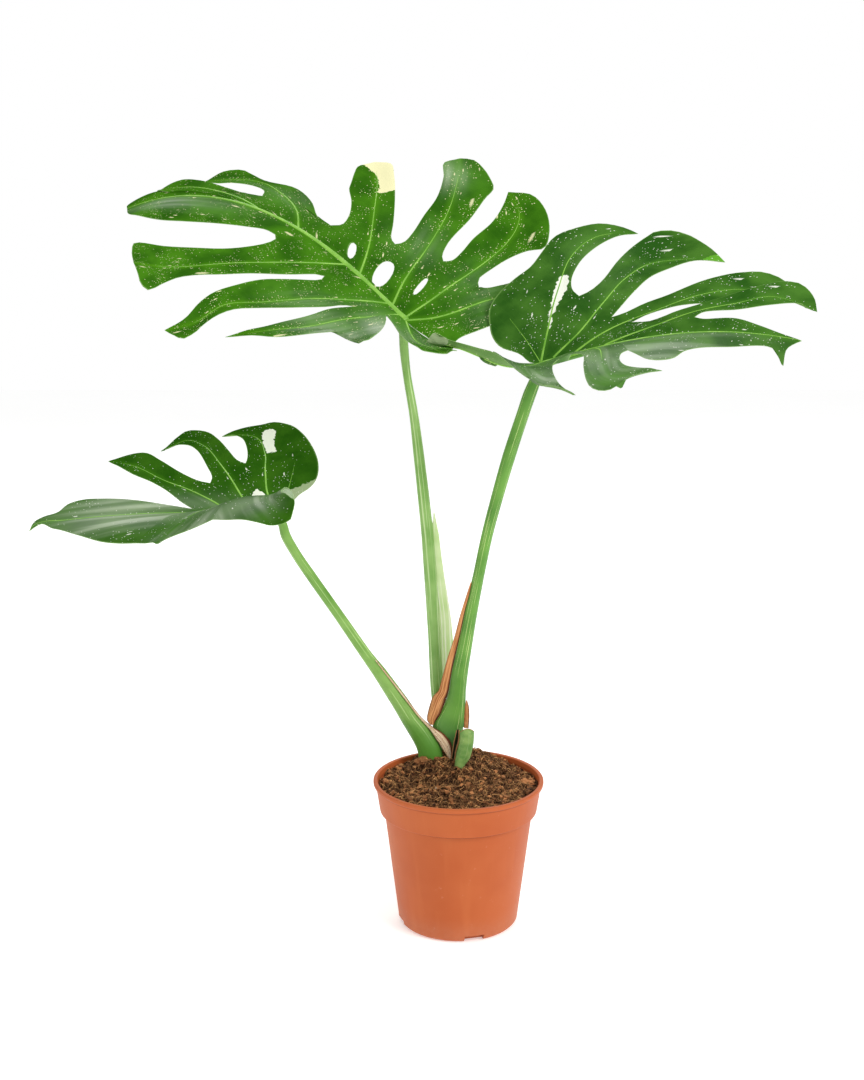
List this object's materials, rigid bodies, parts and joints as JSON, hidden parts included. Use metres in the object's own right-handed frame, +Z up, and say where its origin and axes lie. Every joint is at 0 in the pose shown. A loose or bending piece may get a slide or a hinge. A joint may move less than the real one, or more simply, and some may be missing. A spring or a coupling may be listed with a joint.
{
  "type": "potted houseplant",
  "caption": "Split-leaf aroid plant with three variegated blades on long stalks, standing in compost in a round plastic nursery pot.",
  "frame": {"origin": "centre of the pot's flat underside, on the floor", "axes": "+Z up along the pot's axis, +X to the right in the picture, +Y away from the camera"},
  "size_m": [0.7305, 0.4079, 0.7546],
  "materials": {
    "pot_plastic": "satin",
    "compost": "matt",
    "stalk_green": "satin",
    "dry_sheath": "matt",
    "leaf_green": "satin"
  },
  "bodies": {
    "root": {"pot": "pot_plastic", "soil": "compost", "stalk_top": "stalk_green", "stalk_right": "stalk_green", "stalk_left": "stalk_green", "stalk_cut": "stalk_green", "sheath_cut": "dry_sheath", "sheath_brown": "dry_sheath", "sheath_papery": "dry_sheath", "scale_brown": "dry_sheath", "leaf_top": "leaf_green", "leaf_right": "leaf_green", "leaf_left": "leaf_green"}
  },
  "joints": []
}
